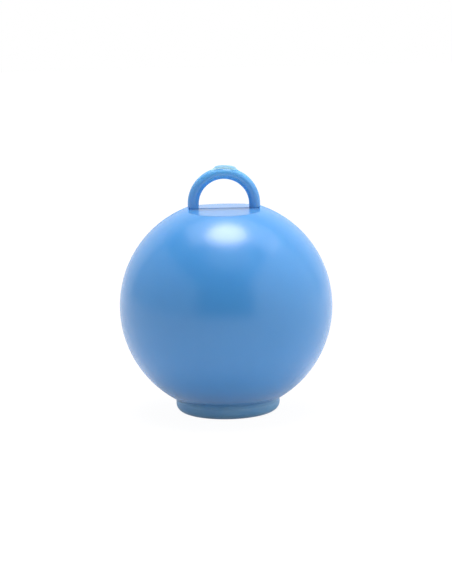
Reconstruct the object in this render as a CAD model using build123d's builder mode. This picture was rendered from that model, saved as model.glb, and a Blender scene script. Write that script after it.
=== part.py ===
from build123d import *
from math import radians, sqrt, tan
import os

# Balloon weight: a hollow ball of two half shells that meet in the plane of the ribbon loop,
# a push-in plug under the foot and a filling of loose sand. Millimetres, +Z up, with the
# origin at the middle of the resting ring. The front faces -Y.

# Ball
ball_diameter = 55.0
wall = 1.8

# Foot
foot_diameter = 26.9
foot_height = 3.25
heel_share = 0.64
shoulder_share = 0.21
shoulder_inset = 0.4
rest_ring_width = 1.7
recess_depth = 1.4
recess_edge_radius = 0.4

# Ribbon loop, a half ring on two short legs
eye_width = 12.86
bar_width = 2.9
bar_depth = 3.4
bar_corner_share = 0.48
leg_height = 1.15
leg_root = 0.9

# Flat that the loop stands on: a little narrower than the loop, drafted both ways from the seam
flat_depth = 1.97
flat_inset = 0.3
flat_draft = 2.3

# Trimmed gate on the crest of the loop
gate_length = 6.4
gate_top_length = 4.6
gate_rise = 0.6
gate_depth = 2.2
gate_root = 0.5

# Tongues of the rear shell and grooves of the front shell, along both sides of the ball
tongue_width = 0.6
tongue_height = 0.9
tongue_span = 38.0
tongue_clearance = 0.05

# Filling hole and its plug
plug_seat = 3.2
hole_land = 1.1
plug_inset = 0.4
plug_rim_clearance = 0.3
plug_rim_edge_radius = 0.3
plug_clearance = 0.05
plug_wall = 1.2
plug_reach = 2.8
plug_lead = 0.5
bead_width = 1.3
bead_catch = 0.3

# Sand, levelled this far above the middle of the ball
sand_rise = 1.1
sand_clearance = 0.2

# One overrun for every cut that has to pass right through
overrun = 2.0

# Sizes that follow from the ones above
ball_radius = ball_diameter / 2
cavity_radius = ball_radius - wall
foot_radius = foot_diameter / 2
heel_radius = foot_height * heel_share
shoulder_drop = foot_height * shoulder_share
shoulder_height = foot_height - shoulder_drop
shoulder_radius = (shoulder_inset**2 + shoulder_drop**2) / (2 * shoulder_inset)
crease_radius = foot_radius - shoulder_inset
rest_radius = foot_radius - heel_radius
recess_radius = rest_radius - rest_ring_width
ball_centre = foot_height + sqrt(ball_radius**2 - crease_radius**2)

eye_radius = eye_width / 2
loop_radius = eye_radius + bar_width / 2
loop_outer_radius = eye_radius + bar_width
flat_half_width = loop_outer_radius - flat_inset
flat_reach = sqrt(ball_radius**2 - (ball_radius - flat_depth) ** 2)
flat_drop = ball_radius * tan(radians(flat_draft))
ridge_height = ball_centre + ball_radius - flat_depth
arch_height = ridge_height + leg_height
crest_height = arch_height + loop_outer_radius
top_height = crest_height + gate_rise
bar_corner_radius = bar_width * bar_corner_share
gate_half = gate_length / 2
gate_top_half = gate_top_length / 2
gate_shoulder_height = arch_height + sqrt(loop_outer_radius**2 - gate_half**2)
gate_base_height = gate_shoulder_height - gate_root
gate_end_height = arch_height + sqrt((loop_outer_radius + gate_rise) ** 2 - gate_top_half**2)
gate_flare = (gate_half - gate_top_half) / (gate_end_height - gate_shoulder_height)
gate_base_half = gate_half + gate_root * gate_flare

ceiling_height = ridge_height - wall - flat_reach * tan(radians(flat_draft))
ceiling_radius = sqrt(cavity_radius**2 - (ceiling_height - ball_centre) ** 2)
hole_radius = recess_radius - plug_seat
floor_radius = hole_radius + hole_land
floor_height = ball_centre - sqrt(cavity_radius**2 - floor_radius**2)
tongue_radius = ball_radius - wall / 2

plug_radius = hole_radius - plug_clearance
plug_bore_radius = plug_radius - plug_wall
plug_rim_radius = recess_radius - plug_rim_clearance
plug_top = floor_height + plug_reach
bead_bottom = floor_height + plug_clearance
bead_radius = hole_radius + bead_catch

sand_radius = cavity_radius - sand_clearance
sand_floor = floor_height + sand_clearance
sand_floor_radius = sqrt(sand_radius**2 - (ball_centre - sand_floor) ** 2)
sand_level = ball_centre + sand_rise


# Whole ball with its foot, flat, loop and gate, before it is parted into two shells
with BuildPart() as ball:
    # Ball and foot, turned about the upright axis
    with BuildSketch(Plane.XZ):
        with BuildLine():
            Polyline(
                (0, ball_centre + ball_radius),
                (0, recess_depth),
                (recess_radius, recess_depth),
                (recess_radius, recess_edge_radius),
            )
            RadiusArc(
                (recess_radius, recess_edge_radius),
                (recess_radius + recess_edge_radius, 0),
                -recess_edge_radius,
            )
            Line((recess_radius + recess_edge_radius, 0), (rest_radius, 0))
            RadiusArc((rest_radius, 0), (foot_radius, heel_radius), -heel_radius)
            Line((foot_radius, heel_radius), (foot_radius, shoulder_height))
            RadiusArc(
                (foot_radius, shoulder_height),
                (crease_radius, foot_height),
                -shoulder_radius,
            )
            ThreePointArc(
                (crease_radius, foot_height),
                (ball_radius, ball_centre),
                (0, ball_centre + ball_radius),
            )
        make_face()
    revolve(axis=Axis.Z)

    # Flat at the top: a shallow roof with its ridge in the seam, let into the ball under the loop
    with BuildSketch(Plane.YZ):
        with BuildLine():
            Polyline(
                (0, ridge_height),
                (ball_radius, ridge_height - flat_drop),
                (ball_radius, top_height),
                (-ball_radius, top_height),
                (-ball_radius, ridge_height - flat_drop),
                close=True,
            )
        make_face()
    extrude(amount=flat_half_width, both=True, mode=Mode.SUBTRACT)

    # Loop: a rounded bar led up one leg, over the arch and down the other
    with BuildLine(Plane.XZ) as loop_path:
        Line((-loop_radius, ridge_height - leg_root), (-loop_radius, arch_height))
        ThreePointArc(
            (-loop_radius, arch_height),
            (0, arch_height + loop_radius),
            (loop_radius, arch_height),
        )
        Line((loop_radius, arch_height), (loop_radius, ridge_height - leg_root))
    with BuildSketch(Plane(loop_path.line @ 0, x_dir=(1, 0, 0), z_dir=(0, 0, 1))) as bar_section:
        RectangleRounded(bar_width, bar_depth, bar_corner_radius)
    sweep(sections=bar_section.sketch, path=loop_path.line)

    # Trimmed gate, a low land that follows the crest, with sloping ends, rooted in the bar
    with BuildSketch(Plane.XZ):
        with BuildLine():
            Polyline(
                (-gate_top_half, gate_end_height),
                (-gate_base_half, gate_base_height),
                (gate_base_half, gate_base_height),
                (gate_top_half, gate_end_height),
            )
            ThreePointArc(
                (gate_top_half, gate_end_height),
                (0, top_height),
                (-gate_top_half, gate_end_height),
            )
        make_face()
    extrude(amount=gate_depth / 2, both=True)

    # Cavity, round as the ball but level under the flat and over the filling hole
    with BuildSketch(Plane.XZ):
        with BuildLine():
            Polyline(
                (ceiling_radius, ceiling_height),
                (0, ceiling_height),
                (0, floor_height),
                (floor_radius, floor_height),
            )
            ThreePointArc(
                (floor_radius, floor_height),
                (cavity_radius, ball_centre),
                (ceiling_radius, ceiling_height),
            )
        make_face()
    revolve(axis=Axis.Z, mode=Mode.SUBTRACT)

    # Filling hole through the floor
    with BuildSketch(Plane.XY):
        Circle(hole_radius)
    extrude(amount=floor_height + overrun, mode=Mode.SUBTRACT)


# Front shell, grooved for the rear shell's tongues
with BuildPart() as front_shell:
    add(ball.part)
    split(bisect_by=Plane.XZ, keep=Keep.TOP)
    with BuildSketch(Plane.XZ):
        with Locations((0, ball_centre)):
            Circle(tongue_radius + tongue_width / 2 + tongue_clearance)
            Circle(tongue_radius - tongue_width / 2 - tongue_clearance, mode=Mode.SUBTRACT)
            Rectangle(ball_diameter, tongue_span + 2 * tongue_clearance, mode=Mode.INTERSECT)
    extrude(amount=tongue_height + tongue_clearance, mode=Mode.SUBTRACT)

# Rear shell with its two curved tongues
with BuildPart() as rear_shell:
    add(ball.part)
    split(bisect_by=Plane.XZ, keep=Keep.BOTTOM)
    with BuildSketch(Plane.XZ):
        with Locations((0, ball_centre)):
            Circle(tongue_radius + tongue_width / 2)
            Circle(tongue_radius - tongue_width / 2, mode=Mode.SUBTRACT)
            Rectangle(ball_diameter, tongue_span, mode=Mode.INTERSECT)
    extrude(amount=tongue_height)

# Base plug: a rim in the recess of the foot, a hollow spigot and a bead that snaps over the floor
with BuildPart() as base_plug:
    with BuildSketch(Plane.XZ):
        with BuildLine():
            RadiusArc(
                (plug_rim_radius - plug_rim_edge_radius, plug_inset),
                (plug_rim_radius, plug_inset + plug_rim_edge_radius),
                -plug_rim_edge_radius,
            )
            Polyline(
                (plug_rim_radius, plug_inset + plug_rim_edge_radius),
                (plug_rim_radius, recess_depth),
                (plug_radius, recess_depth),
                (plug_radius, bead_bottom),
                (bead_radius, bead_bottom + bead_catch),
                (plug_radius, bead_bottom + bead_width),
                (plug_radius, plug_top - plug_lead),
                (plug_radius - plug_lead, plug_top),
                (plug_bore_radius, plug_top),
                (plug_bore_radius, recess_depth),
                (0, recess_depth),
                (0, plug_inset),
                (plug_rim_radius - plug_rim_edge_radius, plug_inset),
            )
        make_face()
    revolve(axis=Axis.Z)

# Sand, which fills the ball round and inside the plug's spigot up to its level
with BuildPart() as sand_ballast:
    with BuildSketch(Plane.XZ):
        with BuildLine():
            Polyline(
                (0, ball_centre + sand_radius),
                (0, recess_depth + sand_clearance),
                (plug_bore_radius - sand_clearance, recess_depth + sand_clearance),
                (plug_bore_radius - sand_clearance, plug_top + sand_clearance),
                (bead_radius + sand_clearance, plug_top + sand_clearance),
                (bead_radius + sand_clearance, sand_floor),
                (sand_floor_radius, sand_floor),
            )
            ThreePointArc(
                (sand_floor_radius, sand_floor),
                (sand_radius, ball_centre),
                (0, ball_centre + sand_radius),
            )
        make_face()
    revolve(axis=Axis.Z)
    split(bisect_by=Plane.XY.offset(sand_level), keep=Keep.BOTTOM)

os.makedirs("parts", exist_ok=True)
front_shell.part.label = "front_shell"
export_step(front_shell.part, "parts/front_shell.step")
rear_shell.part.label = "rear_shell"
export_step(rear_shell.part, "parts/rear_shell.step")
base_plug.part.label = "base_plug"
export_step(base_plug.part, "parts/base_plug.step")
sand_ballast.part.label = "sand_ballast"
export_step(sand_ballast.part, "parts/sand_ballast.step")
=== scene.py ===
"""Balloon weight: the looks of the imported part, in metres, in the part's own frame."""
from math import acos, asin, cos, pi, radians, sin, sqrt, tan

import bmesh
import bpy
from mathutils import Matrix, Vector, noise


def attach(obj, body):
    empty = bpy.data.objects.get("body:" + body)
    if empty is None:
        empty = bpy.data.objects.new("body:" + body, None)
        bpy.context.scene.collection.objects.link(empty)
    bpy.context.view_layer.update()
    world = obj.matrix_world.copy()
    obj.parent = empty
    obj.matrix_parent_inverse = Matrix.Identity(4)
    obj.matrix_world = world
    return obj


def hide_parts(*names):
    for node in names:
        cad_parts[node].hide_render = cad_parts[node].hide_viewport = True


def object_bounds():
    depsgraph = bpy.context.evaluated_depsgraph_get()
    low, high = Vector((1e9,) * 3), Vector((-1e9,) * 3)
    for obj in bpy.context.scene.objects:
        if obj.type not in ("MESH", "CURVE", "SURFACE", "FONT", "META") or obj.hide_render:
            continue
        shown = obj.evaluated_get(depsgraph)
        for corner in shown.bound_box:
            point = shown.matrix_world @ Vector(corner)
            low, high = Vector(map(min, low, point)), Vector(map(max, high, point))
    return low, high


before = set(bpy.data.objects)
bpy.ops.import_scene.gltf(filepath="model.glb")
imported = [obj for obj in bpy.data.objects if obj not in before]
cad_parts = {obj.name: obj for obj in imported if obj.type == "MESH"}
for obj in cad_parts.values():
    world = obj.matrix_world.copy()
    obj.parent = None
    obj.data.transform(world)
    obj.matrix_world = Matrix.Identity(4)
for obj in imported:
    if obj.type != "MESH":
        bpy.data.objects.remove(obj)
cad_low, cad_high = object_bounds()

MM = 0.001

# Ball and foot. The crease between them is rounded this far each way, and its corner filled
BALL_RADIUS = min(cad_high.x, -cad_low.x, cad_high.y, -cad_low.y)
WALL = 1.8 * MM
FOOT_RADIUS = 13.45 * MM
FOOT_HEIGHT = 3.25 * MM
HEEL_RADIUS = 2.08 * MM
SHOULDER_INSET = 0.4 * MM
SHOULDER_DROP = 0.68 * MM
REST_RING_WIDTH = 1.7 * MM
RECESS_DEPTH = 1.4 * MM
RECESS_EDGE = 0.4 * MM
CREASE_ROUND = 0.78 * MM
CREASE_FILL = 0.22 * MM
SMALL_ROUND = 0.15 * MM

# Ribbon loop and the flat that it stands on. The fillet at the foot of each leg is sunk a hair, so
# that it ends in a clean line. A row of points just inside the flat's rounded edge keeps the flat level
EYE_RADIUS = 6.43 * MM
BAR_WIDTH = 2.9 * MM
BAR_DEPTH = 3.4 * MM
BAR_CORNER = 1.39 * MM
LEG_HEIGHT = 1.15 * MM
LEG_ROOT = 0.6 * MM
LEG_FILLET = 0.2 * MM
LEG_FILLET_SUNK = 0.03 * MM
FLAT_DEPTH = 1.97 * MM
FLAT_INSET = 0.3 * MM
FLAT_DRAFT = radians(2.3)
FLAT_EDGE_ROUND = 0.2 * MM
FLAT_EDGE_SUPPORT = 0.2 * MM

# Trimmed gate on the crest of the loop, a little to one side, with domed edges and a cut grain
GATE_SHIFT = radians(3.2)
GATE_HALF = 3.3 * MM
GATE_TOP_HALF = 2.3 * MM
GATE_DEPTH = 2.2 * MM
GATE_EDGE = 0.75 * MM
GATE_FALL = 0.7 * MM
GATE_DOME_SHARE = 0.1
GATE_GRAIN = 0.04 * MM
GATE_GRAIN_SCALE = 1800

# Seam between the shells: a fine half-round groove, finer still along the loop, whose halves are
# inset a hair so that they don't touch. Points stand at these distances from it, close together
# across the groove
SEAM_REACH = 0.34 * MM
SEAM_DEPTH = 0.3 * MM
SEAM_INSET = 0.005 * MM
SEAM_COLUMNS = [d * MM for d in (0, 0.1, 0.2, 0.27, 0.31, 0.33, 0.34, 0.42, 0.6, 0.9, 1.4)]
LOOP_SEAM_SHARE = 0.6

# Filling hole and its plug
PLUG_SEAT = 3.2 * MM
HOLE_LAND = 1.1 * MM
PLUG_INSET = 0.4 * MM
PLUG_RIM_CLEARANCE = 0.3 * MM
PLUG_RIM_EDGE = 0.3 * MM
PLUG_CLEARANCE = 0.05 * MM
PLUG_WALL = 1.2 * MM
PLUG_REACH = 2.8 * MM
PLUG_LEAD = 0.5 * MM
PLUG_SEAT_ROUND = 0.075 * MM
BEAD_WIDTH = 1.3 * MM
BEAD_CATCH = 0.25 * MM
BEAD_ROUND = 0.05 * MM
DIMPLE_RADIUS = 1.6 * MM
DIMPLE_DEPTH = 0.3 * MM
DIMPLE_ROUND = 0.075 * MM
DIMPLE_EDGE = 0.1 * MM
NIB_RADIUS = 0.5 * MM
NIB_HEIGHT = 0.2 * MM
NIB_ROUND_SHARE = 1 / 3

# Sand
SAND_CLEARANCE = 0.25 * MM
SAND_RISE = 1.0 * MM
SAND_GRAIN = 0.15 * MM
SAND_GRAIN_SCALE = 900

# Fineness of the meshes
ROUND_STEPS = 6
SHOULDER_STEPS = 6
CREASE_STEPS = 8
CAVITY_STEPS = 40
BALL_STEPS = 84
RIM_STEPS = 8
TURN_STEPS = 88
ARCH_STEPS = 64
BAR_CORNER_STEPS = 16
BAR_POINT_GAP = 0.15 * MM
PLUG_STEPS = 96
SAND_STEPS = 120
SAND_WALL_STEPS = 24
SAND_TOP_STEPS = 40
SHARP_ANGLE = radians(32)
SAND_SHARP_ANGLE = radians(60)

# Where points lie closer together on the loop: across its seam, on the gate's edge and up the legs'
# fillet, as shares of the groove's reach there, of the gate's edge and of the fillet
LOOP_SEAM_SHARES = (0, 0.35, 0.65, 0.85, 0.95, 1)
GATE_EDGE_SHARES = (1, 0.75, 0.5, 0.3, 0.15, 0.05, 0, -0.06)
LEG_FILLET_SHARES = (0, 0.05, 0.12, 0.22, 0.36, 0.55, 0.8, 1.2)

# Colours
PLASTIC_BLUE = (0.072, 0.34, 0.75)
# The flat's darker blue is painted shade, which tones down the strong light from overhead on this
# upward-facing flat
FLAT_SHADED_BLUE = (0.083, 0.302, 0.64)
# The loop's brighter blue is painted light, for light that comes through the thin bar, brightest at the
# crest under the lamps
LOOP_LIT_BLUE = (0.104, 0.396, 0.835)
CREST_LIT_BLUE = (0.15, 0.512, 0.965)
# The foot's lighter, greyer blue is painted light, against the shade that the ball casts on the foot and
# its crease
FOOT_LIT_BLUE = (0.2, 0.465, 0.74)
# The gate is paler than the bar, as trimmed plastic is, with painted light on its foot and sides, which
# face away from the lamps, and painted shade on its top, which faces them
WHITENED_AND_LIT_BLUE = (0.54, 0.86, 1.0)
TRIMMED_AND_SHADED_BLUE = (0.25, 0.56, 0.78)
SAND_PALE = (0.66, 0.54, 0.37)
SAND_DARK = (0.42, 0.31, 0.19)
WHITE = (1.0, 1.0, 1.0)
MOTTLE_SHARES = (0.98, 1.02)
PLUG_MOTTLE_SHARES = (0.94, 1.04)

# Gloss of the plastic, how far light goes into it, and how much duller the foot and the gate are
PLASTIC_ROUGHNESS = (0.247, 0.263)
PLASTIC_IOR = 1.6
FOOT_DULLNESS = 0.17
GATE_DULLNESS = 0.3
PLUG_ROUGHNESS = (0.42, 0.52)
SAND_ROUGHNESS = (0.75, 0.95)
TRANSLUCENCY = 0.3
TRANSLUCENT_REACH = 2 * MM
TRANSLUCENT_SHARES = (0.4, 0.8, 1.0)

# Noise, as its scale per metre and its detail, and the range that most of its values lie in
MOTTLE_NOISE = (70, 3)
FOOT_PATCH_NOISE = (260, 4)
SHEEN_NOISE = (420, 2)
PEEL_NOISE = (2400, 1)
PLUG_MOTTLE_NOISE = (180, 4)
PLUG_GRAIN_NOISE = (2400, 3)
SAND_CELL_SCALE = 2600
NOISE_RANGE = (0.3, 0.7)
FOOT_PATCH_RANGE = (0.25, 0.6)
FOOT_PATCH_SHARES = (0.6, 1.0)

# Relief, as its strength and its depth
PEEL_RELIEF = (0.02, 0.01 * MM)
PLUG_RELIEF = (0.15, 0.03 * MM)
SAND_RELIEF = (0.6, 0.2 * MM)

# Where a colour begins and is full, measured from the edge that it follows
GATE_OUTWARD_FADE = (-0.25 * MM, -0.05 * MM)
GATE_SIDE_FADE = (0.2 * MM, 0.05 * MM)
GATE_UPWARD_FADE = (-1.2 * MM, -1.0 * MM)
FLAT_SIDE_FADE = (0, -0.1 * MM)
FLAT_UPWARD_FADE = (-0.2 * MM, -0.05 * MM)
LOOP_UPWARD_FADE = (0.1 * MM, 0.5 * MM)
FOOT_DOWNWARD_FADE = (1.6 * MM, 0.2 * MM)
CREST_START_SHARE = 0.6
# How far up the gate its painted shade is full
GATE_SHADE_SHARE = 0.5

# Camera, at the height and distance that the flat and the foot show in perspective
CAMERA_DISTANCE = 633 * MM
CAMERA_ELEVATION = radians(10.3)
CAMERA_ROLL = radians(1.2)
CAMERA_LENS = 150.8
AIM_UP = 3.53 * MM
AIM_RIGHT = 0.055 * MM

# Lamps: a softbox and two wide dim ceilings overhead, and a panel on each side
SOFTBOX_PLACE = (0.05, 0.085, 1.55)
SOFTBOX_SIZE = (0.85, 0.78)
SOFTBOX_POWER = 16.2
SOFTBOX_TINT = (1.0, 0.92, 1.0)
CEILING_PLACE = (0.3, 0.4, 1.58)
CEILING_SIZE = (2.3, 1.05)
CEILING_POWER = 12.8
FRONT_CEILING_PLACE = (0.18, -0.8, 1.58)
FRONT_CEILING_SIZE = (1.5, 1.1)
FRONT_CEILING_POWER = 2.4
RIGHT_PANEL_PLACE = (0.9, -0.5, 0.6)
RIGHT_PANEL_SIZE = (2.0, 1.2)
RIGHT_PANEL_POWER = 7.9
LEFT_PANEL_PLACE = (-0.9, -0.5, 0.45)
LEFT_PANEL_SIZE = (2.0, 0.9)
LEFT_PANEL_POWER = 3.3
DOWN = (0, 0, -1)
LEFTWARD = (-1, 0, 0)
RIGHTWARD = (1, 0, 0)

# White floor and backdrop. The floor's pairs are its own glow and its shade under the lamps,
# as the camera sees it and as the plastic mirrors it
STAGE_REACH = 1.5
STUDIO_FLOOR_SHADE = 0.58
STUDIO_FLOOR_SEEN = (0.955, 0.075)
STUDIO_FLOOR_MIRRORED = (0.48, 0.5)
BACKDROP_DISTANCE = 1.0
BACKDROP_HEIGHT = 1.6
BACKDROP_FADE = (0.9, 1.4)
BACKDROP_DIM = 0.5
AMBIENT = 0.1

# Sizes that follow from the ones above
CAVITY_RADIUS = BALL_RADIUS - WALL
REST_RADIUS = FOOT_RADIUS - HEEL_RADIUS
CREASE_RADIUS = FOOT_RADIUS - SHOULDER_INSET
SHOULDER_HEIGHT = FOOT_HEIGHT - SHOULDER_DROP
SHOULDER_RADIUS = (SHOULDER_INSET**2 + SHOULDER_DROP**2) / (2 * SHOULDER_INSET)
RECESS_RADIUS = REST_RADIUS - REST_RING_WIDTH
HOLE_RADIUS = RECESS_RADIUS - PLUG_SEAT
BALL_CENTRE = FOOT_HEIGHT + sqrt(BALL_RADIUS**2 - CREASE_RADIUS**2)
CAVITY_FLOOR_RADIUS = HOLE_RADIUS + HOLE_LAND
CAVITY_FLOOR_HEIGHT = BALL_CENTRE - sqrt(CAVITY_RADIUS**2 - CAVITY_FLOOR_RADIUS**2)
LOOP_RADIUS = EYE_RADIUS + BAR_WIDTH / 2
LOOP_OUTER = EYE_RADIUS + BAR_WIDTH
FLAT_HALF_WIDTH = LOOP_OUTER - FLAT_INSET
FLAT_REACH = sqrt(BALL_RADIUS**2 - (BALL_RADIUS - FLAT_DEPTH) ** 2)
RIDGE_HEIGHT = BALL_CENTRE + BALL_RADIUS - FLAT_DEPTH
ARCH_HEIGHT = RIDGE_HEIGHT + LEG_HEIGHT
GATE_RISE = cad_high.z - ARCH_HEIGHT - LOOP_OUTER
CAVITY_CEILING_HEIGHT = RIDGE_HEIGHT - WALL - FLAT_REACH * tan(FLAT_DRAFT)
CAVITY_CEILING_RADIUS = sqrt(CAVITY_RADIUS**2 - (CAVITY_CEILING_HEIGHT - BALL_CENTRE) ** 2)
PLUG_RADIUS = HOLE_RADIUS - PLUG_CLEARANCE
PLUG_BORE_RADIUS = PLUG_RADIUS - PLUG_WALL
PLUG_TOP = CAVITY_FLOOR_HEIGHT + PLUG_REACH


# Outlines and meshes

def curve_points(controls, steps):
    """Points of the smooth curve from the first control point to the last, drawn to those between."""
    points = []
    for i in range(steps + 1):
        drawn = [Vector(control) for control in controls]
        while len(drawn) > 1:
            drawn = [p.lerp(q, i / steps) for p, q in zip(drawn, drawn[1:])]
        points.append(tuple(drawn[0]))
    return points


def rounded(corners):
    """An open outline through corners (r, z, radius), each inner corner rounded by its radius."""
    points = [corners[0][:2]]
    for before, here, after in zip(corners, corners[1:], corners[2:]):
        corner = Vector(here[:2])
        radius = here[2]
        back = (Vector(before[:2]) - corner).normalized()
        forth = (Vector(after[:2]) - corner).normalized()
        opening = back.angle(forth)
        reach = radius / tan(opening / 2)
        centre = corner + (back + forth).normalized() * radius / sin(opening / 2)
        first = corner + back * reach - centre
        last = corner + forth * reach - centre
        turn = first.angle_signed(last)
        for i in range(ROUND_STEPS + 1):
            points.append(tuple(centre + Matrix.Rotation(-turn * i / ROUND_STEPS, 2) @ first))
    points.append(corners[-1][:2])
    return points


def sphere_points(radius, low, high, steps):
    """Points of a meridian about the ball's centre, from one angle off straight down to another."""
    angles = [low + (high - low) * i / steps for i in range(steps + 1)]
    return [(radius * sin(a), BALL_CENTRE - radius * cos(a)) for a in angles]


def join_rows(bm, rows, closed=False):
    """Faces between each row of points and the next. Closed rows go round to their first point."""
    for one, two in zip(rows, rows[1:]):
        if closed:
            one = one + one[:1]
            two = two + two[:1]
        for corners in zip(one, one[1:], two[1:], two):
            # Where two corners are the same point, the face is a triangle
            bm.faces.new(list(dict.fromkeys(corners)))


def object_from(bm, name):
    """A linked object that holds this mesh."""
    mesh = bpy.data.meshes.new(name)
    bm.to_mesh(mesh)
    bm.free()
    piece = bpy.data.objects.new(name, mesh)
    bpy.context.scene.collection.objects.link(piece)
    return piece


def smooth(piece, sharp_angle=SHARP_ANGLE):
    """Smooth shading with crisp edges where faces turn sharply."""
    piece.data.polygons.foreach_set("use_smooth", [True] * len(piece.data.polygons))
    piece.data.set_sharp_from_angle(angle=sharp_angle)


# Half ball of each shell, made of upright sections that stand side by side round the axis

def flat_slope(turn):
    """How steeply the flat falls away from the axis, at this angle round it."""
    return abs(sin(turn)) * tan(FLAT_DRAFT)


def rim_radius(turn):
    """Where the flat ends, at the ball or at its own sides, at this angle round the axis."""
    slope = flat_slope(turn)
    height = RIDGE_HEIGHT - BALL_CENTRE
    spread = 1 + slope**2
    root = sqrt((height * slope) ** 2 - spread * (height**2 - BALL_RADIUS**2))
    at_ball = (height * slope + root) / spread
    at_side = FLAT_HALF_WIDTH / max(abs(cos(turn)), FLAT_HALF_WIDTH / BALL_RADIUS)
    return min(at_ball, at_side)


def cavity_section():
    """The inside of the shell, from the ceiling down to the floor round the filling hole."""
    floor_angle = asin(CAVITY_FLOOR_RADIUS / CAVITY_RADIUS)
    ceiling_angle = pi - asin(CAVITY_CEILING_RADIUS / CAVITY_RADIUS)
    return sphere_points(CAVITY_RADIUS, floor_angle, ceiling_angle, CAVITY_STEPS)[::-1]


def foot_section():
    """The filling hole, the recess, the resting ring, the heel and the shoulder of the foot."""
    points = rounded(
        [
            (CAVITY_FLOOR_RADIUS, CAVITY_FLOOR_HEIGHT, 0),
            (HOLE_RADIUS, CAVITY_FLOOR_HEIGHT, SMALL_ROUND),
            (HOLE_RADIUS, RECESS_DEPTH, SMALL_ROUND),
            (RECESS_RADIUS, RECESS_DEPTH, SMALL_ROUND),
            (RECESS_RADIUS, 0, RECESS_EDGE),
            (FOOT_RADIUS, 0, HEEL_RADIUS),
            (FOOT_RADIUS, SHOULDER_HEIGHT, 0),
        ]
    )
    shoulder_turn = asin(SHOULDER_DROP / SHOULDER_RADIUS) - CREASE_ROUND / SHOULDER_RADIUS
    for i in range(1, SHOULDER_STEPS + 1):
        angle = shoulder_turn * i / SHOULDER_STEPS
        r = FOOT_RADIUS - SHOULDER_RADIUS * (1 - cos(angle))
        points.append((r, SHOULDER_HEIGHT + SHOULDER_RADIUS * sin(angle)))
    return points[1:]


def upper_section(turn, foot_end):
    """The crease, the ball and the rounded edge of the flat, at this angle round the axis."""
    slope = flat_slope(turn)
    rim = rim_radius(turn)
    rim_height = BALL_CENTRE + sqrt(BALL_RADIUS**2 - rim**2)
    low = asin(CREASE_RADIUS / BALL_RADIUS) + CREASE_ROUND / BALL_RADIUS
    high = pi - asin(rim / BALL_RADIUS) - FLAT_EDGE_ROUND / BALL_RADIUS
    ball = sphere_points(BALL_RADIUS, low, high, BALL_STEPS)
    corner = (CREASE_RADIUS + CREASE_FILL, FOOT_HEIGHT - CREASE_FILL)
    crease = curve_points([foot_end, corner, ball[0]], CREASE_STEPS)[1:-1]

    def on_flat(inset):
        """The point of the flat that lies this far in from its rim."""
        return rim - inset, RIDGE_HEIGHT - (rim - inset) * slope

    controls = [ball[-1], (rim, rim_height), on_flat(0), on_flat(FLAT_EDGE_ROUND)]
    edge = curve_points(controls, RIM_STEPS)[1:]
    return crease + ball + edge + [on_flat(FLAT_EDGE_ROUND + FLAT_EDGE_SUPPORT)]


def half_turns():
    """Angles from one end of the seam to the other, close together next to the seam."""
    near = [distance / BALL_RADIUS for distance in SEAM_COLUMNS]
    middle = [near[-1] + (pi - 2 * near[-1]) * i / TURN_STEPS for i in range(1, TURN_STEPS)]
    return near + middle + [pi - angle for angle in reversed(near)]


def seam_draw(distance):
    """How far the surface draws in at this distance from the seam."""
    return SEAM_DEPTH * sqrt(max(0.0, 1 - (distance / SEAM_REACH) ** 2))


def draw_groove(columns, heel):
    """Draw points in along the seam, from the heel to the flat, all but the flat's rounded edge."""
    for column in columns:
        for vertex in column[heel:-RIM_STEPS - 1] + column[-1:]:
            outward = Vector((vertex.normal.x, 0, vertex.normal.z))
            draw = seam_draw(abs(vertex.co.y))
            if draw and outward.length:
                vertex.co -= outward.normalized() * draw


def make_half_ball(side):
    """Closed half shell on one side of the seam, without its half of the loop."""
    bm = bmesh.new()
    cavity = cavity_section()
    foot = foot_section()
    turns = half_turns()
    columns = []
    for turn in turns:
        on_seam = turn in (turns[0], turns[-1])
        across = 0.0 if on_seam else side * sin(turn)
        section = cavity + foot + upper_section(turn, foot[-1])
        columns.append([bm.verts.new((r * cos(turn), r * across, z)) for r, z in section])
    join_rows(bm, columns)

    # The cavity's ceiling and the flat, each closed by strips from one side to the other
    half = (len(columns) + 1) // 2
    for end in (0, -1):
        level = [column[end] for column in columns]
        join_rows(bm, [level[:half], level[::-1][:half]])
    bmesh.ops.recalc_face_normals(bm, faces=bm.faces)
    bm.normal_update()

    # The groove begins at the heel, past the middle of the resting ring
    ring_middle = REST_RADIUS - REST_RING_WIDTH / 2
    recess = [point for point in foot if point[0] < ring_middle]
    draw_groove(columns, len(cavity) + len(recess))

    # The face in the plane of the seam
    outline = [edge for edge in bm.edges if edge.is_boundary]
    bmesh.ops.triangle_fill(bm, use_beauty=False, use_dissolve=False, edges=outline)
    bmesh.ops.recalc_face_normals(bm, faces=bm.faces)
    return bm


# Half loop of each shell, a bar led up one leg, over the arch and down the other

def bar_section():
    """Half the bar's section from the seam outside to the seam inside, as (outward, depth)."""
    half = BAR_WIDTH / 2
    flat = BAR_DEPTH / 2 - BAR_CORNER

    def corner(angle):
        """The point of the rounded corner at this angle off straight outward."""
        return half - BAR_CORNER * (1 - cos(angle)), flat + BAR_CORNER * sin(angle)

    seam = [(half, SEAM_REACH * LOOP_SEAM_SHARE * share) for share in LOOP_SEAM_SHARES]
    even = [pi / 2 * i / BAR_CORNER_STEPS for i in range(BAR_CORNER_STEPS + 1)]

    # Outside, the points near the gate's edge give way to finer ones that follow it
    edge = [GATE_DEPTH / 2 - GATE_EDGE * share for share in GATE_EDGE_SHARES]
    low = edge[0] - BAR_POINT_GAP
    high = edge[-1] + BAR_POINT_GAP
    kept = [angle for angle in even if not low < corner(angle)[1] < high]
    finer = sorted(kept + [asin((depth - flat) / BAR_CORNER) for depth in edge])

    outside = seam + [corner(angle) for angle in finer]
    inside = seam + [corner(angle) for angle in even]
    return outside + [(-outward, depth) for outward, depth in reversed(inside)]


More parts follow.
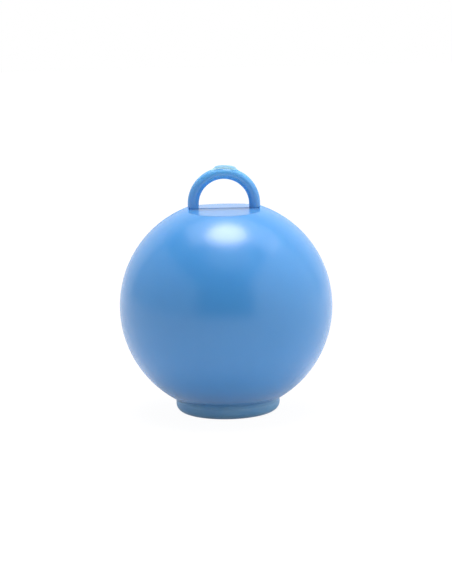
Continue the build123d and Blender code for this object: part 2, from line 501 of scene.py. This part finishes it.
def gate_height(angle, depth):
    """How far the trimmed gate reaches from the bar's middle line, at this angle off its middle."""
    top_angle = asin(GATE_TOP_HALF / LOOP_OUTER)
    foot_angle = asin(GATE_HALF / LOOP_OUTER)
    end = min(1.0, (foot_angle - angle) / (foot_angle - top_angle))
    edge = max(0.0, depth - GATE_DEPTH / 2 + GATE_EDGE) / GATE_EDGE
    dome = min(1.0, angle / foot_angle) ** 2 * GATE_RISE * GATE_DOME_SHARE
    return BAR_WIDTH / 2 + (GATE_RISE - dome) * end - GATE_FALL * edge**3


def bar_reach(outward, depth, place, angle):
    """How far the bar's skin lies from its middle line, with the seam's groove and the gate."""
    draw = LOOP_SEAM_SHARE * seam_draw(depth / LOOP_SEAM_SHARE)
    if outward < 0:
        return outward + draw
    reach = outward - draw
    gate = gate_height(abs(angle - GATE_SHIFT), depth)
    if depth <= GATE_DEPTH / 2 and gate > reach:
        reach = gate - GATE_GRAIN * abs(noise.noise(place * GATE_GRAIN_SCALE))
    return reach


def leg_flare(rise):
    """How much wider the bar is at this height above the flat, where a fillet leads into it."""
    short = min(LEG_FILLET, max(0.0, LEG_FILLET - LEG_FILLET_SUNK - max(0.0, rise)))
    return LEG_FILLET - sqrt(LEG_FILLET**2 - short**2)


def loop_stations():
    """Places along the loop's middle line as (x, z, angle off upright)."""
    angles = [-pi / 2 + pi * i / ARCH_STEPS for i in range(ARCH_STEPS + 1)]
    rises = [-LEG_ROOT] + [LEG_FILLET * share for share in LEG_FILLET_SHARES]
    left = [(-LOOP_RADIUS, RIDGE_HEIGHT + rise, -pi / 2) for rise in rises]
    arch = [(LOOP_RADIUS * sin(a), ARCH_HEIGHT + LOOP_RADIUS * cos(a), a) for a in angles]
    right = [(-x, z, -angle) for x, z, angle in reversed(left)]
    return left + arch + right


def make_half_loop(side):
    """Closed half of the loop, with its half of the trimmed gate."""
    bm = bmesh.new()
    section = bar_section()
    rings = []
    for x, z, angle in loop_stations():
        flare = leg_flare(z - RIDGE_HEIGHT)
        wider = 1 + flare / (BAR_WIDTH / 2)
        deeper = 1 + flare / (BAR_DEPTH / 2)
        fall = tan(FLAT_DRAFT) if z < ARCH_HEIGHT else 0.0
        ring = []
        for outward, depth in section:
            reach = wider * bar_reach(outward, depth, Vector((x, side * depth, z)), angle)
            across = side * (depth * deeper + SEAM_INSET)
            height = z - depth * fall + reach * cos(angle)
            ring.append(bm.verts.new((x + reach * sin(angle), across, height)))
        rings.append(ring)
    join_rows(bm, rings, closed=True)
    bm.faces.new(rings[0])
    bm.faces.new(rings[-1][::-1])
    bmesh.ops.recalc_face_normals(bm, faces=bm.faces)
    return bm


def make_shell(name, side):
    """One half shell with its half of the loop, as a single closed mesh."""
    piece = object_from(make_half_ball(side), name)
    loop = object_from(make_half_loop(side), name + "_loop")
    union = piece.modifiers.new("union", "BOOLEAN")
    union.operation = "UNION"
    union.solver = "EXACT"
    union.object = loop
    graph = bpy.context.evaluated_depsgraph_get()
    joined = bpy.data.meshes.new_from_object(piece.evaluated_get(graph))
    piece.modifiers.clear()
    piece.data = joined
    bpy.data.objects.remove(loop)
    smooth(piece)
    return piece


# Plug and sand, both turned about the upright axis

def turned(outline, name, steps, grain=0.0, grain_scale=1.0):
    """A closed piece turned from an outline that starts and ends on the axis, lowered by its grain."""
    bm = bmesh.new()
    rings = []
    for r, z in outline:
        count = 1 if r == 0 else steps
        ring = []
        for i in range(count):
            turn = 2 * pi * i / count
            place = Vector((r * cos(turn), r * sin(turn), z))
            drop = grain * abs(noise.noise(place * grain_scale))
            ring.append(bm.verts.new((place.x, place.y, z - drop)))
        rings.append(ring * (steps // count))
    join_rows(bm, rings, closed=True)
    bmesh.ops.recalc_face_normals(bm, faces=bm.faces)
    return object_from(bm, name)


def make_plug():
    """Push-in plug: a rim in the foot's recess, a hollow spigot, its bead and a small gate mark."""
    rim = RECESS_RADIUS - PLUG_RIM_CLEARANCE
    seat = RECESS_DEPTH - PLUG_CLEARANCE
    bead = CAVITY_FLOOR_HEIGHT + PLUG_CLEARANCE
    dimple = PLUG_INSET + DIMPLE_DEPTH
    nib_round = NIB_HEIGHT * NIB_ROUND_SHARE
    outline = rounded(
        [
            (0, dimple - NIB_HEIGHT, 0),
            (NIB_RADIUS, dimple - NIB_HEIGHT, nib_round),
            (NIB_RADIUS, dimple, nib_round),
            (DIMPLE_RADIUS, dimple, DIMPLE_ROUND),
            (DIMPLE_RADIUS + DIMPLE_DEPTH, PLUG_INSET, DIMPLE_EDGE),
            (rim, PLUG_INSET, PLUG_RIM_EDGE),
            (rim, seat, SMALL_ROUND),
            (PLUG_RADIUS, seat, PLUG_SEAT_ROUND),
            (PLUG_RADIUS, bead, BEAD_ROUND),
            (PLUG_RADIUS + BEAD_CATCH, bead + BEAD_CATCH, BEAD_ROUND),
            (PLUG_RADIUS, bead + BEAD_WIDTH, SMALL_ROUND),
            (PLUG_RADIUS, PLUG_TOP - PLUG_LEAD, SMALL_ROUND),
            (PLUG_RADIUS - PLUG_LEAD, PLUG_TOP, SMALL_ROUND),
            (PLUG_BORE_RADIUS, PLUG_TOP, SMALL_ROUND),
            (PLUG_BORE_RADIUS, RECESS_DEPTH, SMALL_ROUND),
            (0, RECESS_DEPTH, 0),
        ]
    )
    piece = turned(outline, "plug", PLUG_STEPS)
    smooth(piece)
    return piece


def make_sand():
    """Loose sand, which fills the ball round and inside the plug's spigot up to its level."""
    radius = CAVITY_RADIUS - SAND_CLEARANCE
    bore = PLUG_BORE_RADIUS - SAND_CLEARANCE
    collar = HOLE_RADIUS + BEAD_CATCH + SAND_CLEARANCE
    base = RECESS_DEPTH + SAND_CLEARANCE + SAND_GRAIN
    floor = CAVITY_FLOOR_HEIGHT + SAND_CLEARANCE
    roof = PLUG_TOP + SAND_CLEARANCE + SAND_GRAIN
    level = BALL_CENTRE + SAND_RISE
    low = acos((BALL_CENTRE - floor) / radius)
    high = acos((BALL_CENTRE - level) / radius)
    wall = sphere_points(radius, low, high, SAND_WALL_STEPS)
    brim = wall[-1][0]
    top = [(brim * (1 - i / SAND_TOP_STEPS), level) for i in range(1, SAND_TOP_STEPS)]
    outline = [(0, base), (bore, base), (bore, roof), (collar, roof), (collar, floor + SAND_GRAIN)]
    outline += wall + top + [(0, level)]
    piece = turned(outline, "sand", SAND_STEPS, SAND_GRAIN, SAND_GRAIN_SCALE)
    smooth(piece, SAND_SHARP_ANGLE)
    return piece


# Shader nodes

def add_node(tree, kind, options=None, **inputs):
    """A shader node with options, and with inputs set or linked by name or by place (_0, _1 and on)."""
    made = tree.nodes.new("ShaderNode" + kind)
    for name, value in (options or {}).items():
        setattr(made, name, value)
    for name, value in inputs.items():
        number = name.lstrip("_")
        socket = made.inputs[int(number) if number.isdigit() else name.replace("_", " ")]
        if isinstance(value, bpy.types.NodeSocket):
            tree.links.new(value, socket)
        else:
            socket.default_value = value
    return made


def calculate(tree, operation, *values):
    """The result of a named operation on one to three values."""
    inputs = {f"_{i}": value for i, value in enumerate(values)}
    return add_node(tree, "Math", {"operation": operation}, **inputs).outputs[0]


def coordinate(tree, place, axis):
    """One coordinate of a place, X, Y or Z."""
    return add_node(tree, "SeparateXYZ", Vector=place).outputs[axis]


def noise_at(tree, place, kind):
    """Noise of this scale and detail."""
    scale, detail = kind
    return add_node(tree, "TexNoise", Vector=place, Scale=scale, Detail=detail).outputs["Fac"]


def ramp(tree, value, source, target=(0, 1)):
    """The value carried over from one range to another, and held at its ends."""
    made = add_node(
        tree,
        "MapRange",
        Value=value,
        From_Min=source[0],
        From_Max=source[1],
        To_Min=target[0],
        To_Max=target[1],
    )
    return made.outputs[0]


def fade(tree, value, edge, span):
    """Nought to one as the value crosses a span that is measured from an edge."""
    return ramp(tree, value, [edge + offset for offset in span])


def blend_colours(tree, share, first, second):
    """A colour that goes from the first to the second with the share."""
    pair = [c if isinstance(c, bpy.types.NodeSocket) else (*c, 1) for c in (first, second)]
    # In a Mix node, sockets 6 and 7 take the colours, and output 2 gives the blend
    made = add_node(tree, "Mix", {"data_type": "RGBA"}, _0=share, _6=pair[0], _7=pair[1])
    return made.outputs[2]


def blend_shaders(tree, share, first, second):
    """A shader that goes from the first to the second with the share."""
    return add_node(tree, "MixShader", _0=share, _1=first, _2=second).outputs[0]


def mottled(tree, share, colour, factors):
    """The colour, a little darker or lighter with the share."""
    tints = [tuple(min(1.0, c * factor) for c in colour) for factor in factors]
    return blend_colours(tree, share, *tints)


def new_material(name):
    """A material with its node tree, its shader and the part's own coordinates."""
    material = bpy.data.materials.new(name)
    material.use_nodes = True
    tree = material.node_tree
    place = tree.nodes.new("ShaderNodeTexCoord").outputs["Object"]
    return material, tree, tree.nodes["Principled BSDF"], place


def wire_shader(tree, shader, colour, roughness, height, relief):
    """Give the shader its colour and roughness, and the height as relief."""
    strength, depth = relief
    bump = add_node(tree, "Bump", Strength=strength, Distance=depth, Height=height)
    tree.links.new(colour, shader.inputs["Base Color"])
    tree.links.new(roughness, shader.inputs["Roughness"])
    tree.links.new(bump.outputs[0], shader.inputs["Normal"])


# Masks, which say where on the shells a colour or a dullness goes

def loop_reach(tree, place):
    """Distance from the axis of the loop's arch, which runs from front to rear."""
    along = (1, 0, 1)
    down = (0, 0, -ARCH_HEIGHT)
    flat = add_node(tree, "VectorMath", {"operation": "MULTIPLY_ADD"}, _0=place, _1=along, _2=down)
    return add_node(tree, "VectorMath", {"operation": "LENGTH"}, _0=flat.outputs[0]).outputs["Value"]


def gate_mask(tree, place):
    """One where the gate stands out of the loop's crest and on its sides, nought elsewhere."""
    across = calculate(tree, "ABSOLUTE", coordinate(tree, place, "Y"))
    proud = fade(tree, loop_reach(tree, place), LOOP_OUTER, GATE_OUTWARD_FADE)
    inside = fade(tree, across, GATE_DEPTH / 2, GATE_SIDE_FADE)
    high = fade(tree, coordinate(tree, place, "Z"), cad_high.z, GATE_UPWARD_FADE)
    return calculate(tree, "MULTIPLY", calculate(tree, "MULTIPLY", proud, inside), high)


def gate_top_shade_mask(tree, place):
    """Nought at the gate's foot and one higher up its land. The gate is paler than the bar, as trimmed
    plastic is, with painted light on its foot and sides and painted shade on its top.
    """
    return ramp(tree, loop_reach(tree, place), (LOOP_OUTER, LOOP_OUTER + GATE_SHADE_SHARE * GATE_RISE))


def flat_shade_mask(tree, place):
    """One on and above the two slopes of the flat, nought on the ball below them. There the blue is
    darker, as painted shade where the lamps overhead light the flat most.
    """
    along = calculate(tree, "ABSOLUTE", coordinate(tree, place, "X"))
    across = calculate(tree, "ABSOLUTE", coordinate(tree, place, "Y"))
    height = calculate(tree, "MULTIPLY_ADD", across, tan(FLAT_DRAFT), coordinate(tree, place, "Z"))
    inside = fade(tree, along, FLAT_HALF_WIDTH, FLAT_SIDE_FADE)
    above = fade(tree, height, RIDGE_HEIGHT, FLAT_UPWARD_FADE)
    return calculate(tree, "MULTIPLY", inside, above)


def loop_light_mask(tree, place):
    """One on the loop's bar, where its brighter blue is painted light for light that comes through the
    bar, and nought on the ball.
    """
    return fade(tree, coordinate(tree, place, "Z"), RIDGE_HEIGHT, LOOP_UPWARD_FADE)


def crest_light_mask(tree, place):
    """Nought on the loop's legs and one at its crest, where the blue is brightest, as painted light from
    the lamps above.
    """
    start = ARCH_HEIGHT + CREST_START_SHARE * EYE_RADIUS
    return ramp(tree, coordinate(tree, place, "Z"), (start, ARCH_HEIGHT + LOOP_OUTER))


def foot_light_and_dullness_mask(tree, place):
    """One on the foot and in its crease, in patches, and nought on the ball above. There the colour gets
    painted light, against the shade under the ball, and the gloss is duller.
    """
    low = fade(tree, coordinate(tree, place, "Z"), FOOT_HEIGHT, FOOT_DOWNWARD_FADE)
    patches = ramp(tree, noise_at(tree, place, FOOT_PATCH_NOISE), FOOT_PATCH_RANGE, FOOT_PATCH_SHARES)
    return calculate(tree, "MULTIPLY", low, patches)


# Materials

def make_shell_plastic():
    """Glossy moulded plastic, slightly mottled and dull on the foot, with painted light on the foot, the
    loop and the gate's sides, painted shade on the flat and the gate's top, and a gate paler than the
    bar.
    """
    material, tree, shader, place = new_material("blue_plastic")
    foot = foot_light_and_dullness_mask(tree, place)
    gate = gate_mask(tree, place)
    # Painted light on the loop, brightest at its crest
    lit_loop = blend_colours(tree, crest_light_mask(tree, place), LOOP_LIT_BLUE, CREST_LIT_BLUE)
    # The gate's paler blue, with painted light on its foot and sides and painted shade on its top
    pale_lit_and_shaded_gate = blend_colours(tree, gate_top_shade_mask(tree, place), WHITENED_AND_LIT_BLUE, TRIMMED_AND_SHADED_BLUE)
    blue = mottled(tree, noise_at(tree, place, MOTTLE_NOISE), PLASTIC_BLUE, MOTTLE_SHARES)
    # Painted shade on the flat
    blue = blend_colours(tree, flat_shade_mask(tree, place), blue, FLAT_SHADED_BLUE)
    blue = blend_colours(tree, loop_light_mask(tree, place), blue, lit_loop)
    # Painted light on the foot and in its crease
    blue = blend_colours(tree, foot, blue, FOOT_LIT_BLUE)
    blue = blend_colours(tree, gate, blue, pale_lit_and_shaded_gate)
    rough = ramp(tree, noise_at(tree, place, SHEEN_NOISE), NOISE_RANGE, PLASTIC_ROUGHNESS)
    rough = calculate(tree, "MULTIPLY_ADD", foot, FOOT_DULLNESS, rough)
    rough = calculate(tree, "MULTIPLY_ADD", gate, GATE_DULLNESS, rough)
    wire_shader(tree, shader, blue, rough, noise_at(tree, place, PEEL_NOISE), PEEL_RELIEF)
    shader.inputs["IOR"].default_value = PLASTIC_IOR
    shader.inputs["Subsurface Weight"].default_value = TRANSLUCENCY
    shader.inputs["Subsurface Radius"].default_value = TRANSLUCENT_SHARES
    shader.inputs["Subsurface Scale"].default_value = TRANSLUCENT_REACH
    return material


def make_plug_plastic():
    """The plug's duller plastic, with the fine grain of a plain mould."""
    material, tree, shader, place = new_material("plug_plastic")
    mottle = noise_at(tree, place, PLUG_MOTTLE_NOISE)
    blue = mottled(tree, mottle, PLASTIC_BLUE, PLUG_MOTTLE_SHARES)
    rough = ramp(tree, mottle, NOISE_RANGE, PLUG_ROUGHNESS)
    wire_shader(tree, shader, blue, rough, noise_at(tree, place, PLUG_GRAIN_NOISE), PLUG_RELIEF)
    return material


def make_sand_material():
    """Dry sand: pale and dark grains, with a rough relief."""
    material, tree, shader, place = new_material("dry_sand")
    cells = add_node(tree, "TexVoronoi", Vector=place, Scale=SAND_CELL_SCALE)
    tone = coordinate(tree, cells.outputs["Color"], "X")
    colour = blend_colours(tree, tone, SAND_DARK, SAND_PALE)
    rough = ramp(tree, tone, (0, 1), SAND_ROUGHNESS)
    wire_shader(tree, shader, colour, rough, cells.outputs["Distance"], SAND_RELIEF)
    return material


def dress(piece, material, node):
    """Give the piece its material and let it stand for its CAD node on the resting body."""
    piece.data.materials.clear()
    piece.data.materials.append(material)
    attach(piece, "root")
    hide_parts(node)


# Camera and studio

def make_camera():
    """The scene's camera, in front of the ball and a little above it."""
    back = Vector((0, -cos(CAMERA_ELEVATION), sin(CAMERA_ELEVATION)))
    up = Vector((0, sin(CAMERA_ELEVATION), cos(CAMERA_ELEVATION)))
    aim = Vector((0, 0, BALL_CENTRE)) + up * AIM_UP + Vector((1, 0, 0)) * AIM_RIGHT
    data = bpy.data.cameras.new("camera")
    data.lens = CAMERA_LENS
    camera = bpy.data.objects.new("camera", data)
    place = Matrix.Translation(aim + back * CAMERA_DISTANCE)
    facing = (-back).to_track_quat("-Z", "Y").to_matrix().to_4x4()
    camera.matrix_world = place @ facing @ Matrix.Rotation(-CAMERA_ROLL, 4, "Z")
    bpy.context.scene.collection.objects.link(camera)
    bpy.context.scene.camera = camera


def make_light(name, shape, place, direction, size, power, tint=WHITE):
    """An area lamp that shines in this direction and isn't seen itself."""
    data = bpy.data.lights.new(name, "AREA")
    data.shape = shape
    data.size, data.size_y = size
    data.energy = power
    data.color = tint
    light = bpy.data.objects.new(name, data)
    facing = Vector(direction).to_track_quat("-Z", "Y").to_matrix().to_4x4()
    light.matrix_world = Matrix.Translation(place) @ facing
    light.visible_camera = False
    bpy.context.scene.collection.objects.link(light)


def make_world():
    """A dim white surround for the object, which the camera sees as white."""
    world = bpy.data.worlds.new("studio")
    world.use_nodes = True
    bpy.context.scene.world = world
    tree = world.node_tree
    background = tree.nodes["Background"]
    background.inputs["Color"].default_value = (*WHITE, 1)
    seen = tree.nodes.new("ShaderNodeLightPath").outputs["Is Camera Ray"]
    tree.links.new(ramp(tree, seen, (0, 1), (AMBIENT, 1)), background.inputs["Strength"])


def make_plane(name, corners):
    """A plane of the stage. Gives the node tree of its material, which is still empty."""
    mesh = bpy.data.meshes.new(name)
    mesh.from_pydata(corners, [], [(0, 1, 2, 3)])
    plane = bpy.data.objects.new(name, mesh)
    bpy.context.scene.collection.objects.link(plane)
    material = bpy.data.materials.new(name + "_white")
    material.use_nodes = True
    material.node_tree.nodes.clear()
    plane.data.materials.append(material)
    return material.node_tree


def set_surface(tree, surface):
    """Make this shader the plane's surface."""
    output = tree.nodes.new("ShaderNodeOutputMaterial")
    tree.links.new(surface, output.inputs["Surface"])


def matt(tree, shade):
    """Matt grey or white of this shade."""
    return add_node(tree, "BsdfDiffuse", Color=(shade, shade, shade, 1)).outputs[0]


def glowing(tree, glow, shade):
    """White that glows by itself and still takes a shadow."""
    light = add_node(tree, "Emission", Strength=glow).outputs[0]
    return add_node(tree, "AddShader", _0=light, _1=matt(tree, shade)).outputs[0]


def make_floor():
    """White floor with the object's shadow, clear when it is seen from below."""
    far = STAGE_REACH
    tree = make_plane("floor", [(-far, -far, 0), (far, -far, 0), (far, far, 0), (-far, far, 0)])
    path = tree.nodes.new("ShaderNodeLightPath").outputs
    plain = matt(tree, STUDIO_FLOOR_SHADE)
    mirrored = glowing(tree, *STUDIO_FLOOR_MIRRORED)
    seen = glowing(tree, *STUDIO_FLOOR_SEEN)
    clear = tree.nodes.new("ShaderNodeBsdfTransparent").outputs[0]
    below = tree.nodes.new("ShaderNodeNewGeometry").outputs["Backfacing"]
    surface = blend_shaders(tree, path["Is Glossy Ray"], plain, mirrored)
    surface = blend_shaders(tree, path["Is Camera Ray"], surface, seen)
    set_surface(tree, blend_shaders(tree, below, surface, clear))


def make_backdrop():
    """White backdrop, dimmer towards its top but for the camera."""
    wide, high, y = STAGE_REACH, BACKDROP_HEIGHT, BACKDROP_DISTANCE
    tree = make_plane("backdrop", [(-wide, y, 0), (wide, y, 0), (wide, y, high), (-wide, y, high)])
    place = tree.nodes.new("ShaderNodeTexCoord").outputs["Object"]
    fading = ramp(tree, coordinate(tree, place, "Z"), BACKDROP_FADE, (1, BACKDROP_DIM))
    seen = tree.nodes.new("ShaderNodeLightPath").outputs["Is Camera Ray"]
    strength = calculate(tree, "MAXIMUM", fading, seen)
    set_surface(tree, add_node(tree, "Emission", Strength=strength).outputs[0])


# The pieces, each in place of its CAD node, and the studio round them

shell_plastic = make_shell_plastic()
dress(make_shell("shell_front", -1), shell_plastic, "front_shell")
dress(make_shell("shell_rear", 1), shell_plastic, "rear_shell")
dress(make_plug(), make_plug_plastic(), "base_plug")
dress(make_sand(), make_sand_material(), "sand_ballast")

make_camera()
make_world()
make_floor()
make_backdrop()
make_light("softbox", "ELLIPSE", SOFTBOX_PLACE, DOWN, SOFTBOX_SIZE, SOFTBOX_POWER, SOFTBOX_TINT)
make_light("ceiling", "RECTANGLE", CEILING_PLACE, DOWN, CEILING_SIZE, CEILING_POWER)
make_light("front_ceiling", "ELLIPSE", FRONT_CEILING_PLACE, DOWN, FRONT_CEILING_SIZE, FRONT_CEILING_POWER)
make_light("right_panel", "RECTANGLE", RIGHT_PANEL_PLACE, LEFTWARD, RIGHT_PANEL_SIZE, RIGHT_PANEL_POWER)
make_light("left_panel", "RECTANGLE", LEFT_PANEL_PLACE, RIGHTWARD, LEFT_PANEL_SIZE, LEFT_PANEL_POWER)
bpy.context.scene.view_settings.view_transform = "Standard"
